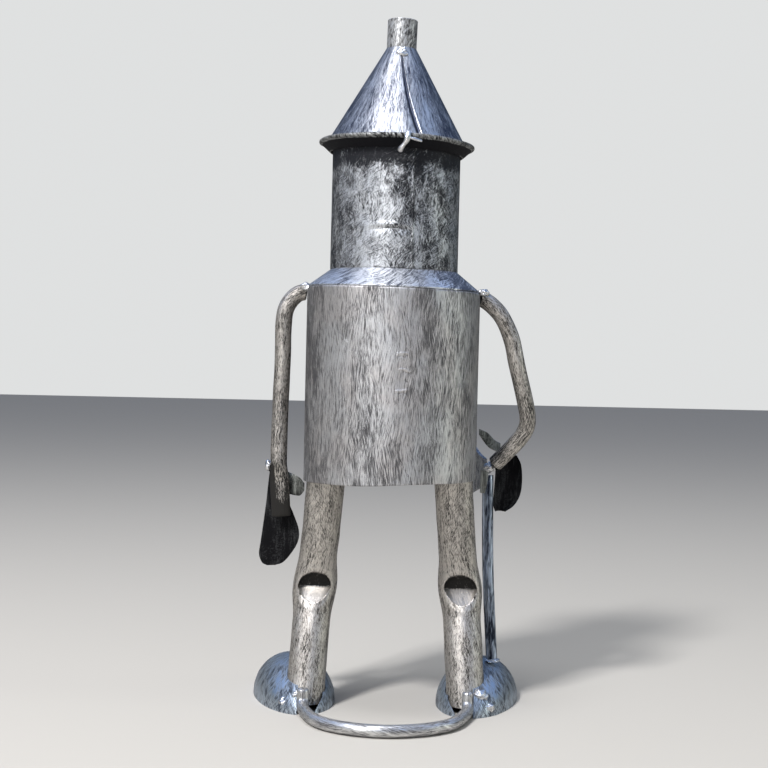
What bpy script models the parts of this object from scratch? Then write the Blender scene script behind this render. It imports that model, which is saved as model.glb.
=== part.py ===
"""A standing figure welded from cans, tube, round bar and pressed sheet.

The figure faces -Y. Its left side is +X. Dimensions are in millimetres.
"""

import math

import bmesh
import bpy
from mathutils import Vector

# Cans and sheet
SHEET = 1.2
GAP = 0.3
TORSO_RADIUS = 50.0
TORSO_BOTTOM = 132.5
TORSO_TOP = 241.5
SHOULDER_TOP = 252.5
HEAD_RADIUS = 36.8
HEAD_BOTTOM = 252.9
HEAD_TOP = 326.0

# Hat, with heights measured along its own leaning axis
HAT_LEAN = math.radians(-1.6)
HAT_PIVOT = 322.0
CONE_BASE_RADIUS = 39.6
CONE_BASE = 327.8
CONE_TOP_RADIUS = 8.9
CONE_TOP = 380.8
BRIM_RADIUS = 45.0
BRIM_TOP = 327.2
BRIM_EDGE_TOP = 326.3
BRIM_EDGE_BOTTOM = 323.3
BRIM_LIP_RADIUS = 37.7
BRIM_LIP_BOTTOM = 319.6
SPOUT_RADIUS = 8.7
SPOUT_TOP = 398.6

# Tubes and bars
ARM_RADIUS = 4.85
ARM_WALL = 0.9
ARM_PRESS_START = 140.0
ARM_PRESS_LENGTH = 12.0
ARM_PRESS_SPREAD = 0.18
ARM_PRESS_DEPTH = 0.52
LEG_RADIUS = 11.0
LEG_WALL = 1.2
BAR_RADIUS = 3.5
HANDLE_RADIUS = 3.4

# Knee: how far the back of the tube is pushed in, and how far that reaches up and down
KNEE_HEIGHT = 69.0
KNEE_DENT = 13.0
KNEE_REACH = 13.0
KNEE_SPREAD = 0.16

# Foot shell, a half egg
FOOT_LENGTH = 53.0
FOOT_WIDTH = 23.7
FOOT_HEIGHT = 24.0
FOOT_CENTRE = (54.8, -25.5)
FOOT_SPLAY = math.radians(10.0)
LEG_HOLE_RADIUS = 11.6
LEG_HOLE = ((46.9, 10.0, -6.0), (44.9, 1.5, 32.0))
HEEL_SLOT = ((46.3, 27.0, 12.0), (16.0, 36.0, 36.0))

# Routes, for the figure's left side where both sides are alike
LEFT_ARM_ROUTE = (
    (52.2, 0, 239.6),
    (57, 0, 237.8),
    (61.5, 0, 231.5),
    (63.3, 0, 222),
    (63.5, 0, 200),
    (64.2, 0, 175),
    (64.6, 1, 145),
    (64, 1.5, 132),
    (62.5, 1.5, 110),
)
RIGHT_ARM_ROUTE = (
    (-53.3, 0, 236.8),
    (-58, 0, 233.2),
    (-63.5, 0, 227),
    (-69, -1, 215),
    (-72.5, -2, 200),
    (-77.5, -5, 181),
    (-80, -8, 169),
    (-78.5, -11, 161),
    (-72, -15, 152),
    (-64.5, -19, 143.5),
)
LEG_ROUTE = (
    (36.2, 8, 156),
    (36.8, 6, 133),
    (39.6, -1, 98),
    (42.5, -7, 69),
    (44.5, 0, 40),
    (46.3, 8, 4),
)
HALF_LOOP_ROUTE = (
    (46.8, 22.9, 13),
    (46.7, 23.8, 7.2),
    (45.8, 30, 4.1),
    (39.5, 50, 3.8),
    (31.5, 62, 3.8),
    (18, 71, 3.8),
)
LOOP_BACK = (0, 75, 3.8)
HANDLE_ROUTE = ((-58.5, -25.5, 133.5), (-59.6, -23.5, 80), (-62.8, -21, 25.2))

# Hands: rows of height, outer edge and inner edge
LEFT_HAND_ROWS = (
    (139.5, 69.6, 61),
    (128, 70.8, 60),
    (119, 71.6, 59.4),
    (110, 72.6, 55.5),
    (101, 73.7, 52.3),
    (94, 74.6, 53),
    (87, 75.4, 57),
    (82, 73.4, 62),
    (80.2, 70.5, 66.5),
)
LEFT_HAND_DEPTH = -4.0
LEFT_THUMB_ROWS = ((58.9, 135, 122.6), (55, 133.4, 121.6), (51.8, 131.6, 121.8), (49.3, 129, 125))
LEFT_THUMB_DEPTH = -2.8
RIGHT_HAND_ROWS = (
    (146, -66.8, -75.8),
    (140, -63.6, -78.5),
    (130, -62.8, -79.2),
    (122, -62.4, -78),
    (116, -62.2, -74.6),
    (112.2, -63.4, -69.5),
)
RIGHT_HAND_DEPTH = -32.4
RIGHT_THUMB_ROWS = (
    (-66.2, 152.8, 147),
    (-62.6, 154.8, 148.4),
    (-58.2, 159, 151),
    (-52.8, 161.5, 158),
)
RIGHT_THUMB_DEPTH = -32.4
HAND_SHEET = 1.2
PALM_CUP = 5.0
LEFT_THUMB_CURL = 7.0
RIGHT_THUMB_CURL = 5.0

# Axe plate, as distance from the handle's axis and height
BLADE_OUTLINE = (
    (4, 126),
    (4, 144),
    (16, 148),
    (34, 159),
    (38.5, 149),
    (40, 138),
    (38.5, 127),
    (34, 117),
    (16, 124),
)
BLADE_ANGLE = math.radians(-70.0)
BLADE_THICKNESS = 2.0

# Face and buttons
EYE_HEIGHT = 303.0
EYE_SPREAD = math.radians(22.0)
EYE_RADIUS = 6.5
EYE_HOLE = 2.6
EYE_THICKNESS = 1.6
NOSE_HEIGHT = 289.0
NOSE_LENGTH = 15.0
NOSE_RADIUS = 4.6
NOSE_TIP = 1.2
MOUTH_HEIGHT = 273.0
MOUTH_SPREAD = math.radians(24.0)
MOUTH_SAG = 5.0
MOUTH_BAR = 1.6
BUTTON_HEIGHTS = {
    "chest_button_top": 222.0,
    "chest_button_middle": 196.0,
    "chest_button_bottom": 170.0,
}
BUTTON_RADIUS = 5.0
BUTTON_DOME = 2.6

# Weld beads: centre and radii
WELDS = {
    "hat_spout_weld": ((-1.4, 11.9, 378.9), (3.2, 1.3, 2.2)),
    "hat_rim_weld": ((-3.5, 38.6, 315.2), (3.6, 1.4, 4.0)),
    "left_shoulder_weld": ((54.2, 6.6, 240.6), (3.0, 1.5, 2.4)),
    "right_shoulder_weld": ((-54.4, 6.7, 237.2), (3.0, 1.5, 2.4)),
    "left_wrist_weld": ((72.2, 1.2, 138.6), (2.0, 2.4, 3.0)),
    "right_wrist_weld": ((-59.0, -21.2, 138.6), (2.9, 2.9, 2.9)),
    "left_hip_weld": ((43.6, 8.6, 159.4), (2.8, 4.0, 2.8)),
    "right_hip_weld": ((-43.6, 8.6, 159.4), (2.8, 4.0, 2.8)),
    "left_ankle_weld": ((52.3, 19.2, 6.5), (1.6, 1.8, 3.5)),
    "right_ankle_weld": ((-52.3, 19.2, 6.5), (1.6, 1.8, 3.5)),
    "left_loop_weld": ((41.1, 22.0, 12.5), (1.7, 1.9, 2.4)),
    "right_loop_weld": ((-41.1, 22.0, 12.5), (1.7, 1.9, 2.4)),
    "axe_foot_weld": ((-69.0, -23.2, 25.2), (2.2, 2.0, 1.6)),
}

# Material slots: colour, roughness, metallic
FINISHES = {
    "hat_sheet": ((0.30, 0.32, 0.35), 0.42, 0.85),
    "can_sheet": ((0.33, 0.33, 0.33), 0.48, 0.8),
    "shoulder_sheet": ((0.45, 0.48, 0.52), 0.38, 0.9),
    "limb_tube": ((0.30, 0.29, 0.27), 0.5, 0.75),
    "foot_shell": ((0.22, 0.25, 0.27), 0.45, 0.75),
    "round_bar": ((0.42, 0.44, 0.46), 0.4, 0.85),
    "hand_sheet": ((0.05, 0.05, 0.055), 0.5, 0.5),
    "weld_bead": ((0.6, 0.6, 0.6), 0.35, 0.95),
    "face_trim": ((0.32, 0.32, 0.33), 0.45, 0.8),
}

MM = 0.001
MERGE = 0.00001
TURNED_SIDES = 56
FOOT_SIDES = 36
FOOT_RINGS = 18
TUBE_SIDES = 20
ARM_SIDES = 14
BAR_RESOLUTION = 4
SMALL_SIDES = 20
ROUTE_STEP = 5.0


def clear_scene():
    """Remove every object that the file starts with."""
    for item in list(bpy.data.objects):
        bpy.data.objects.remove(item, do_unlink=True)


def new_collection(name):
    """A collection of this name, linked to the scene."""
    group = bpy.data.collections.new(name)
    bpy.context.scene.collection.children.link(group)
    return group


def finish_material(name):
    """One Principled material for a slot."""
    colour, roughness, metallic = FINISHES[name]
    material = bpy.data.materials.new(name)
    material.use_nodes = True
    shader = material.node_tree.nodes["Principled BSDF"]
    shader.inputs["Base Color"].default_value = (*colour, 1.0)
    shader.inputs["Roughness"].default_value = roughness
    shader.inputs["Metallic"].default_value = metallic
    return material


class Workshop:
    """Makes named objects in the figure's collection, all carried by one empty."""

    def __init__(self):
        self.figure = new_collection("standing_figure")
        self.cutters = new_collection("cutters")
        self.slots = {name: finish_material(name) for name in FINISHES}
        self.root = self.empty("figure_base", (0, 0, 0))
        self.hat_axis = self.empty("hat_axis", (0, 0, HAT_PIVOT), (0, HAT_LEAN, 0))

    def empty(self, name, place, rotation=(0, 0, 0)):
        """An empty that carries other objects."""
        item = bpy.data.objects.new(name, None)
        self.figure.objects.link(item)
        item.location = Vector(place) * MM
        item.rotation_euler = rotation
        if name != "figure_base":
            item.parent = self.root
        return item

    def place(self, name, data, slot, place=(0, 0, 0), rotation=(0, 0, 0), parent=None):
        """An object for this data, placed by its location and rotation."""
        item = bpy.data.objects.new(name, data)
        data.materials.append(self.slots[slot])
        self.figure.objects.link(item)
        item.parent = parent or self.root
        item.location = Vector(place) * MM
        item.rotation_euler = rotation
        return item

    def cutter(self, name, data, place=(0, 0, 0), rotation=(0, 0, 0)):
        """A hidden object that only cuts others."""
        item = bpy.data.objects.new(name, data)
        self.cutters.objects.link(item)
        item.parent = self.root
        item.location = Vector(place) * MM
        item.rotation_euler = rotation
        item.hide_render = True
        item.display_type = "WIRE"
        return item


def mesh_from(name, work):
    """A mesh in metres from a bmesh in millimetres."""
    bmesh.ops.recalc_face_normals(work, faces=work.faces)
    bmesh.ops.scale(work, vec=(MM, MM, MM), verts=work.verts)
    mesh = bpy.data.meshes.new(name)
    work.to_mesh(mesh)
    work.free()
    return mesh


def profile_mesh(name, profile, closed):
    """A line of radius and height, ready to be turned."""
    mesh = bpy.data.meshes.new(name)
    points = [(radius * MM, 0, height * MM) for radius, height in profile]
    edges = [(index, index + 1) for index in range(len(points) - 1)]
    if closed:
        edges.append((len(points) - 1, 0))
    mesh.from_pydata(points, edges, [])
    return mesh


def screw(item, sides):
    """Turn a profile once round its own Z axis."""
    turn = item.modifiers.new("turn", "SCREW")
    turn.axis = "Z"
    turn.angle = math.tau
    turn.steps = sides
    turn.render_steps = sides
    turn.use_merge_vertices = True
    turn.merge_threshold = MERGE
    turn.use_smooth_shade = True


def cut(item, cutters):
    """Cut each of these away."""
    for cutter in cutters:
        away = item.modifiers.new(cutter.name, "BOOLEAN")
        away.operation = "DIFFERENCE"
        away.solver = "EXACT"
        away.object = cutter


def smooth_route(points):
    """Extra points on a smooth curve through the given ones."""
    knots = [Vector(point) for point in points]
    knots.insert(0, knots[0] * 2 - knots[1])
    knots.append(knots[-1] * 2 - knots[-2])
    route = []
    for index in range(1, len(knots) - 2):
        before, start, end, after = knots[index - 1 : index + 3]
        steps = max(1, round((end - start).length / ROUTE_STEP))
        for step in range(steps):
            t = step / steps
            curve = start * 2 + (end - before) * t
            curve += (before * 2 - start * 5 + end * 4 - after) * t**2
            curve += (start * 3 - before - end * 3 + after) * t**3
            route.append(curve / 2)
    route.append(knots[-2])
    return route


def round_bar(name, points, radius, resolution=BAR_RESOLUTION, caps=True):
    """A curve with a round section along a route."""
    curve = bpy.data.curves.new(name, "CURVE")
    curve.dimensions = "3D"
    curve.bevel_depth = radius * MM
    curve.bevel_resolution = resolution
    curve.use_fill_caps = caps
    spline = curve.splines.new("POLY")
    route = smooth_route(points)
    spline.points.add(len(route) - 1)
    for knot, point in zip(spline.points, route):
        knot.co = (*(point * MM), 1.0)
    return curve


def flat_outline(name, outline, thickness):
    """A flat sheet from its outline, in the local XY plane."""
    curve = bpy.data.curves.new(name, "CURVE")
    curve.dimensions = "2D"
    curve.fill_mode = "BOTH"
    curve.extrude = thickness * MM / 2
    spline = curve.splines.new("POLY")
    spline.points.add(len(outline) - 1)
    for knot, (x, y) in zip(spline.points, outline):
        knot.co = (x * MM, y * MM, 0, 1.0)
    spline.use_cyclic_u = True
    return curve


def sheet_mesh(name, rows):
    """An open surface over rows of points."""
    work = bmesh.new()
    grid = [[work.verts.new(point) for point in row] for row in rows]
    for low, high in zip(grid, grid[1:]):
        for column in range(len(low) - 1):
            work.faces.new((low[column], low[column + 1], high[column + 1], high[column]))
    return mesh_from(name, work)


def thicken(item, thickness, offset=0.0):
    """Give an open surface its sheet thickness."""
    shell = item.modifiers.new("sheet", "SOLIDIFY")
    shell.thickness = thickness * MM
    shell.offset = offset
    shell.use_even_offset = True


def tube_mesh(name, outer, inner):
    """A hollow tube lofted over unlike rings, open at both ends."""
    work = bmesh.new()
    rows = [[work.verts.new(point) for point in ring] for ring in outer + inner[::-1]]
    for low, high in zip(rows, rows[1:] + rows[:1]):
        for index, first in enumerate(low):
            after = (index + 1) % len(low)
            work.faces.new((first, low[after], high[after], high[index]))
    return mesh_from(name, work)


def frames(route):
    """Side and back directions at each point of a route, carried along without twisting."""
    found = []
    back = Vector((0, 1, 0))
    for index, point in enumerate(route):
        ahead = route[min(index + 1, len(route) - 1)]
        behind = route[max(index - 1, 0)]
        along = (ahead - behind).normalized()
        side = along.cross(back).normalized()
        back = side.cross(along).normalized()
        found.append((point, side, back))
    return found


def oval(centre, side, back, count):
    """One ring of points; side and back carry the two radii."""
    ring = []
    for index in range(count):
        turn = math.tau * index / count
        ring.append(centre + side * math.cos(turn) + back * math.sin(turn))
    return ring


def left_arm_mesh():
    """The straight arm, whose open end is pressed flat over the hand."""
    walls = ([], [])
    for point, side, back in frames(smooth_route(LEFT_ARM_ROUTE)):
        press = min(1.0, max(0.0, (ARM_PRESS_START - point.z) / ARM_PRESS_LENGTH))
        wide = ARM_RADIUS * (1.0 + ARM_PRESS_SPREAD * press)
        deep = ARM_RADIUS * (1.0 - ARM_PRESS_DEPTH * press)
        for wall, cut_back in zip(walls, (0.0, ARM_WALL)):
            wall.append(oval(point, side * (wide - cut_back), back * (deep - cut_back), ARM_SIDES))
    return tube_mesh("left_arm", *walls)


def leg_ring(centre, radius, mirror):
    """A level ring of the leg, pushed in at the back near the knee."""
    near = max(0.0, 1.0 - abs(centre.z - KNEE_HEIGHT) / KNEE_REACH)
    ease = near * near * (3.0 - 2.0 * near)
    ring = []
    for index in range(TUBE_SIDES):
        turn = math.tau * index / TUBE_SIDES
        across = radius * math.cos(turn) * (1.0 + KNEE_SPREAD * ease)
        behind = radius * math.sin(turn)
        behind -= KNEE_DENT * ease * max(0.0, math.sin(turn)) ** 1.5
        ring.append(Vector((mirror * (centre.x + across), centre.y + behind, centre.z)))
    return ring


def leg_mesh(name, mirror):
    """A tube with a crimped knee."""
    route = smooth_route(LEG_ROUTE)
    outer = [leg_ring(point, LEG_RADIUS, mirror) for point in route]
    inner = [leg_ring(point, LEG_RADIUS - LEG_WALL, mirror) for point in route]
    return tube_mesh(name, outer, inner)


def egg_mesh(name, shrink):
    """A whole egg; what lies under the ground line is cut off later."""
    work = bmesh.new()
    bmesh.ops.create_uvsphere(work, u_segments=FOOT_SIDES, v_segments=FOOT_RINGS, radius=1.0)
    size = (FOOT_WIDTH - shrink, FOOT_LENGTH - shrink, FOOT_HEIGHT - shrink)
    bmesh.ops.scale(work, vec=size, verts=work.verts)
    return mesh_from(name, work)


def block_mesh(name, size):
    """A box of this size about its own centre."""
    work = bmesh.new()
    bmesh.ops.create_cube(work, size=1.0)
    bmesh.ops.scale(work, vec=size, verts=work.verts)
    return mesh_from(name, work)


def rod_mesh(name, radius, length, sides, tip=None):
    """A round rod or cone along Z about its own centre."""
    work = bmesh.new()
    bmesh.ops.create_cone(
        work,
        cap_ends=True,
        segments=sides,
        radius1=radius,
        radius2=radius if tip is None else tip,
        depth=length,
    )
    return mesh_from(name, work)


def add_foot(shop, side, mirror):
    """A pressed half-egg shell with a hole for the leg and a slot for the heel bar."""
    name = f"{side}_foot"
    centre = (mirror * FOOT_CENTRE[0], FOOT_CENTRE[1], 0)
    turn = (0, 0, mirror * FOOT_SPLAY)
    item = shop.place(name, egg_mesh(name, 0.0), "foot_shell", centre, turn)
    inside = shop.cutter(f"{name}_inside", egg_mesh(f"{name}_inside", SHEET), centre, turn)
    depth = 2 * FOOT_HEIGHT
    ground_size = (3 * FOOT_WIDTH, 3 * FOOT_LENGTH, depth)
    ground = block_mesh(f"{name}_ground", ground_size)
    below = shop.cutter(f"{name}_ground", ground, (centre[0], centre[1], -depth / 2))
    low, high = (Vector((mirror * x, y, z)) for x, y, z in LEG_HOLE)
    along = high - low
    rod = rod_mesh(f"{name}_hole", LEG_HOLE_RADIUS, along.length, TUBE_SIDES)
    lean = along.to_track_quat("Z", "Y").to_euler()
    hole = shop.cutter(f"{name}_hole", rod, (low + high) / 2, lean)
    (x, y, z), size = HEEL_SLOT
    slot = shop.cutter(f"{name}_slot", block_mesh(f"{name}_slot", size), (mirror * x, y, z))
    cut(item, (inside, below, hole, slot))


def add_plate(shop, name, rows, depth, bend, upright):
    """A hand or thumb: a bent sheet between two edges, bend gives its depth."""
    columns = 6 if upright else 3
    grid = []
    last = len(rows) - 1
    for index, (station, first, second) in enumerate(rows):
        line = []
        for column in range(columns + 1):
            share = column / columns
            value = first + (second - first) * share
            y = depth + bend(share, index / last)
            line.append((value, y, station) if upright else (station, y, value))
        grid.append(line)
    item = shop.place(name, sheet_mesh(name, grid), "hand_sheet")
    thicken(item, HAND_SHEET)


def add_turned(shop, name, profile, slot, sides, closed=True, **placing):
    """A profile turned about its own axis."""
    item = shop.place(name, profile_mesh(name, profile, closed), slot, **placing)
    screw(item, sides)


def add_cans(shop):
    """The torso, shoulder and head."""
    for name, radius, low, high in (
        ("torso_shell", TORSO_RADIUS, TORSO_BOTTOM, TORSO_TOP),
        ("head_shell", HEAD_RADIUS, HEAD_BOTTOM, HEAD_TOP),
    ):
        inner = radius - SHEET
        profile = ((radius, high), (radius, low), (inner, low), (inner, high))
        add_turned(shop, name, profile, "can_sheet", TURNED_SIDES)
    low = TORSO_TOP + GAP
    profile = (
        (HEAD_RADIUS - 0.4, SHOULDER_TOP),
        (TORSO_RADIUS - 0.4, low + 0.5),
        (TORSO_RADIUS - 0.4, low),
        (TORSO_RADIUS - 2.6, low),
        (HEAD_RADIUS - 2.4, SHOULDER_TOP),
    )
    add_turned(shop, "shoulder_cone", profile, "shoulder_sheet", TURNED_SIDES)


def add_hat(shop):
    """The cone, brim and spout, on their own leaning axis."""
    spout_low = CONE_TOP + GAP
    spout = (
        (SPOUT_RADIUS, SPOUT_TOP),
        (SPOUT_RADIUS, spout_low),
        (SPOUT_RADIUS - SHEET, spout_low),
        (SPOUT_RADIUS - SHEET, SPOUT_TOP),
    )
    cone = (
        (CONE_TOP_RADIUS, CONE_TOP),
        (CONE_BASE_RADIUS, CONE_BASE),
        (CONE_BASE_RADIUS - SHEET, CONE_BASE),
        (CONE_TOP_RADIUS - SHEET, CONE_TOP),
    )
    brim = (
        (CONE_BASE_RADIUS - SHEET, BRIM_TOP),
        (BRIM_RADIUS - 1.2, BRIM_EDGE_TOP),
        (BRIM_RADIUS, BRIM_EDGE_TOP - 1.0),
        (BRIM_RADIUS, BRIM_EDGE_BOTTOM + 0.8),
        (BRIM_RADIUS - 1.0, BRIM_EDGE_BOTTOM),
        (BRIM_LIP_RADIUS + SHEET, BRIM_LIP_BOTTOM),
        (BRIM_LIP_RADIUS, BRIM_LIP_BOTTOM),
        (BRIM_LIP_RADIUS, BRIM_EDGE_BOTTOM),
    )
    for name, profile in (("hat_spout", spout), ("hat_cone", cone), ("hat_brim", brim)):
        line = [(radius, height - HAT_PIVOT) for radius, height in profile]
        add_turned(shop, name, line, "hat_sheet", TURNED_SIDES, parent=shop.hat_axis)


def front_point(angle, height, radius):
    """A point on the front of a can, angle measured from straight ahead towards +X."""
    return Vector((radius * math.sin(angle), -radius * math.cos(angle), height))


def facing(angle):
    """The rotation that stands a turned piece on the front of a can."""
    return (math.pi / 2, 0, angle)


def add_face(shop):
    """The eyes, nose and mouth."""
    near = 1.1
    far = near + EYE_THICKNESS
    washer = ((EYE_RADIUS, far), (EYE_RADIUS, near), (EYE_HOLE, near), (EYE_HOLE, far))
    for side, angle in (("left", EYE_SPREAD), ("right", -EYE_SPREAD)):
        placing = {
            "place": front_point(angle, EYE_HEIGHT, HEAD_RADIUS),
            "rotation": facing(angle),
        }
        add_turned(shop, f"{side}_eye", washer, "face_trim", SMALL_SIDES, **placing)
    cone = rod_mesh("nose", NOSE_RADIUS, NOSE_LENGTH, SMALL_SIDES, NOSE_TIP)
    spot = front_point(0, NOSE_HEIGHT, HEAD_RADIUS + 0.4 + NOSE_LENGTH / 2)
    shop.place("nose", cone, "face_trim", spot, facing(0))
    points = []
    for step in range(-4, 5):
        share = step / 4.0
        height = MOUTH_HEIGHT - MOUTH_SAG * (1.0 - share * share)
        points.append(front_point(MOUTH_SPREAD * share, height, HEAD_RADIUS + GAP + MOUTH_BAR))
    shop.place("mouth", round_bar("mouth", points, MOUTH_BAR), "face_trim")


def add_buttons(shop):
    """Three low domes down the chest."""
    dome = (
        (0, BUTTON_DOME),
        (1.6, BUTTON_DOME),
        (3.6, 2.2),
        (BUTTON_RADIUS, 1.0),
        (BUTTON_RADIUS, 0.4),
        (0, 0.4),
    )
    for name, height in BUTTON_HEIGHTS.items():
        placing = {"place": front_point(0, height, TORSO_RADIUS), "rotation": facing(0)}
        add_turned(shop, name, dome, "face_trim", SMALL_SIDES, False, **placing)


def add_welds(shop):
    """A rounded bead at each joint."""
    for name, (centre, radii) in WELDS.items():
        work = bmesh.new()
        bmesh.ops.create_uvsphere(work, u_segments=10, v_segments=6, radius=1.0)
        bmesh.ops.scale(work, vec=radii, verts=work.verts)
        shop.place(name, mesh_from(name, work), "weld_bead", centre)


def add_arms_and_hands(shop):
    """The straight arm, the bent arm, and the two cut-out hands."""
    shop.place("left_arm", left_arm_mesh(), "limb_tube")
    bent = round_bar("right_arm", RIGHT_ARM_ROUTE, ARM_RADIUS, 5, False)
    thicken(shop.place("right_arm", bent, "limb_tube"), ARM_WALL, -1.0)
    add_plate(shop, "left_hand", LEFT_HAND_ROWS, LEFT_HAND_DEPTH, lambda across, along: 0.0, True)
    add_plate(
        shop,
        "right_hand",
        RIGHT_HAND_ROWS,
        RIGHT_HAND_DEPTH,
        lambda across, along: PALM_CUP * (2.0 * across - 1.0) ** 2,
        True,
    )
    for side, rows, depth, curl in (
        ("left", LEFT_THUMB_ROWS, LEFT_THUMB_DEPTH, LEFT_THUMB_CURL),
        ("right", RIGHT_THUMB_ROWS, RIGHT_THUMB_DEPTH, RIGHT_THUMB_CURL),
    ):
        name = f"{side}_thumb"
        add_plate(shop, name, rows, depth, lambda across, along, c=curl: c * along**2, False)


def add_axe(shop):
    """The axe: a round bar and a plate that stands out from it."""
    handle = round_bar("axe_handle", HANDLE_ROUTE, HANDLE_RADIUS)
    shop.place("axe_handle", handle, "round_bar")
    blade = flat_outline("axe_blade", BLADE_OUTLINE, BLADE_THICKNESS)
    x, y, _ = HANDLE_ROUTE[0]
    shop.place("axe_blade", blade, "hand_sheet", (x, y, 0), (math.pi / 2, 0, BLADE_ANGLE))


def add_legs_and_feet(shop):
    """Both legs and feet, and the bar that joins the heels and reaches back."""
    for side, mirror in (("left", 1.0), ("right", -1.0)):
        shop.place(f"{side}_leg", leg_mesh(f"{side}_leg", mirror), "limb_tube")
        add_foot(shop, side, mirror)
    right = [(-x, y, z) for x, y, z in HALF_LOOP_ROUTE]
    loop = round_bar("heel_loop", [*HALF_LOOP_ROUTE, LOOP_BACK, *right[::-1]], BAR_RADIUS)
    shop.place("heel_loop", loop, "round_bar")


def centre_on_origin(shop):
    """Move the carrying empty so that the figure stands centred on the origin, on z = 0."""
    bpy.context.view_layer.update()
    graph = bpy.context.evaluated_depsgraph_get()
    corners = []
    for item in shop.figure.objects:
        if item.type == "EMPTY":
            continue
        seen = item.evaluated_get(graph)
        mesh = seen.to_mesh()
        corners += [seen.matrix_world @ vertex.co for vertex in mesh.vertices]
        seen.to_mesh_clear()
    low = Vector([min(corner[axis] for corner in corners) for axis in range(3)])
    high = Vector([max(corner[axis] for corner in corners) for axis in range(3)])
    shop.root.location = (-(low.x + high.x) / 2, -(low.y + high.y) / 2, -low.z)


def main():
    """Build the figure from the hat down."""
    clear_scene()
    shop = Workshop()
    add_hat(shop)
    add_cans(shop)
    add_face(shop)
    add_buttons(shop)
    add_arms_and_hands(shop)
    add_axe(shop)
    add_legs_and_feet(shop)
    add_welds(shop)
    centre_on_origin(shop)


main()
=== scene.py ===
"""A welded sheet-metal figure, seen from behind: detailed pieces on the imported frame."""

import math

import bmesh
import bpy
import numpy as np
from mathutils import Matrix, Vector, noise


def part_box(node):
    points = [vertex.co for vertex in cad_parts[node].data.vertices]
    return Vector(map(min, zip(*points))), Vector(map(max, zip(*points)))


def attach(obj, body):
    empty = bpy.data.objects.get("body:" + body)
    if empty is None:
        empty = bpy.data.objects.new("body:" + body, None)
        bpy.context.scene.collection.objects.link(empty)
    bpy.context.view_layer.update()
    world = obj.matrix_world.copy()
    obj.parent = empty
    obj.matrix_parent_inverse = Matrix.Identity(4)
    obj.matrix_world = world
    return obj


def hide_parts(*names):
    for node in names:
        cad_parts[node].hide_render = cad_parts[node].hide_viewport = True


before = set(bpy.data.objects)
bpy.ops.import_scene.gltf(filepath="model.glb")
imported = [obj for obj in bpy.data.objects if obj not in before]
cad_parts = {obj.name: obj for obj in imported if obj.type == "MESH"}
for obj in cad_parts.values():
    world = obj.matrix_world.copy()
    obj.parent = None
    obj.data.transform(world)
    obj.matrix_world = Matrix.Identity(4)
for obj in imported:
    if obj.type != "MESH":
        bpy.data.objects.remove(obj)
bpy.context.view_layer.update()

TAU = math.tau
TORSO_RADIUS = 50.0
TORSO_BOTTOM = 132.5
TORSO_HEIGHT = 109.0
HEAD_RADIUS = 36.8
HAT_BASE = 327.8
HAT_HEIGHT = 53.0
SHEET = 1.2

# The torso can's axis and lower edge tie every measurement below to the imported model.
torso_low, torso_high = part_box("torso_shell")
middle = (torso_low + torso_high) / 2
ORIGIN = np.array([middle.x, middle.y, torso_low.z - TORSO_BOTTOM * 0.001])


# ---------------------------------------------------------------- mesh helpers


def make_object(name, points, faces, flow, material, node=None, sharp=38.0, painted_light_and_bare_paint=None):
    """An object from millimetre points about the can's axis, riding on the root body."""
    mesh = bpy.data.meshes.new(name)
    world = np.asarray(points, float) * 0.001 + ORIGIN
    mesh.from_pydata([tuple(p) for p in world], [], [tuple(int(i) for i in f) for f in faces])
    attribute = mesh.attributes.new("flow", "FLOAT_VECTOR", "POINT")
    attribute.data.foreach_set("vector", np.asarray(flow, np.float32).ravel())
    # This per-point value holds painted shade and painted highlights, along with some bare dark
    # paint; the material takes silver away by it
    if painted_light_and_bare_paint is not None:
        depth = mesh.attributes.new("painted_light_and_bare_paint", "FLOAT", "POINT")
        depth.data.foreach_set("value", np.asarray(painted_light_and_bare_paint, np.float32).ravel())
    work = bmesh.new()
    work.from_mesh(mesh)
    bmesh.ops.recalc_face_normals(work, faces=work.faces)
    for face in work.faces:
        face.smooth = True
    for edge in work.edges:
        edge.smooth = edge.calc_face_angle(0.0) < math.radians(sharp)
    work.to_mesh(mesh)
    work.free()
    mesh.materials.append(material)
    item = bpy.data.objects.new(name, mesh)
    bpy.context.scene.collection.objects.link(item)
    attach(item, "root")
    if node:
        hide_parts(node)
    return item


def ring_faces(rows, columns, closed):
    """Quads over rows of closed rings; closed also joins the last row to the first."""
    faces = []
    for row in range(rows if closed else rows - 1):
        low = row * columns
        high = (row + 1) % rows * columns
        for column in range(columns):
            after = (column + 1) % columns
            faces.append((low + column, low + after, high + after, high + column))
    return faces


def capped_faces(rows, columns):
    """Rows of rings with a face over each end."""
    faces = ring_faces(rows, columns, False)
    faces.append(tuple(range(columns)))
    faces.append(tuple(range((rows - 1) * columns, rows * columns)))
    return faces


def sheet_faces(rows, columns):
    """Quads of two grids, near then far, joined round their edge."""
    faces = []
    size = rows * columns
    for side in (0, size):
        for row in range(rows - 1):
            for column in range(columns - 1):
                low = side + row * columns + column
                faces.append((low, low + 1, low + columns + 1, low + columns))
    edge = list(range(columns))
    edge += [row * columns + columns - 1 for row in range(1, rows)]
    edge += [(rows - 1) * columns + column for column in range(columns - 2, -1, -1)]
    edge += [row * columns for row in range(rows - 2, 0, -1)]
    for index, first in enumerate(edge):
        second = edge[(index + 1) % len(edge)]
        faces.append((first, second, size + second, size + first))
    return faces


def refine(profile, step):
    """Extra points along a closed profile, so that no side is longer than step."""
    points = []
    for index, (radius, height) in enumerate(profile):
        next_radius, next_height = profile[(index + 1) % len(profile)]
        length = math.hypot(next_radius - radius, next_height - height)
        count = max(1, math.ceil(length / step))
        for part in range(count):
            share = part / count
            out = radius + (next_radius - radius) * share
            up = height + (next_height - height) * share
            points.append((out, up))
    return points


def lip(radius, height, half, start, end, steps=4):
    """Points round a rolled edge, angles in degrees."""
    points = []
    for step in range(steps + 1):
        turn = math.radians(start + (end - start) * step / steps)
        points.append((radius + half * math.cos(turn), height + half * math.sin(turn)))
    return points


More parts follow.
